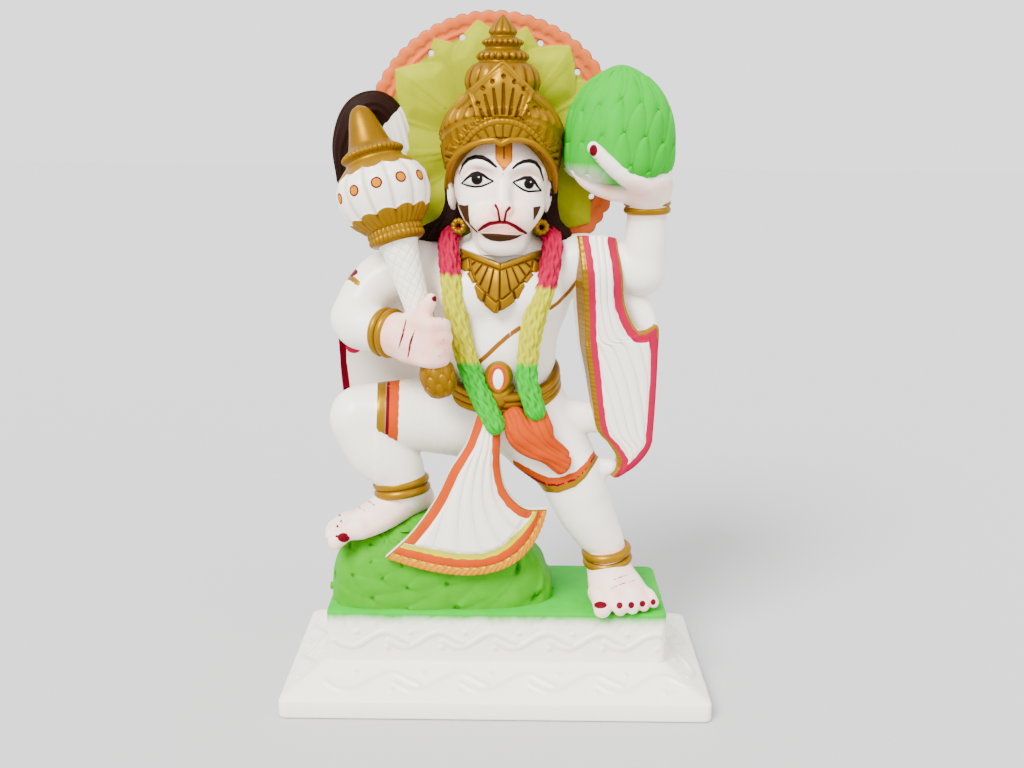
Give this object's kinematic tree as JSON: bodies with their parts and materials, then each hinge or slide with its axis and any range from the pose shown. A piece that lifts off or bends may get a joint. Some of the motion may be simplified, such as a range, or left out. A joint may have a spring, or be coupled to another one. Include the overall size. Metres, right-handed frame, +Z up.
{
  "type": "hanuman figure",
  "caption": "Painted marble figure of Hanuman striding on a rock with mace and mountain, crowned before a lotus halo, carved with its stepped plinth.",
  "frame": {"origin": "centre of the plinth's underside", "axes": "+Z up, +X to the viewer's right, the front faces -Y"},
  "size_m": [0.24, 0.116, 0.381],
  "materials": {
    "painted_marble": "polished white marble, painted in gold, green, orange, pink, yellow, brown and crimson"
  },
  "bodies": {
    "root": {"hanuman_statue": "painted_marble"}
  },
  "joints": []
}
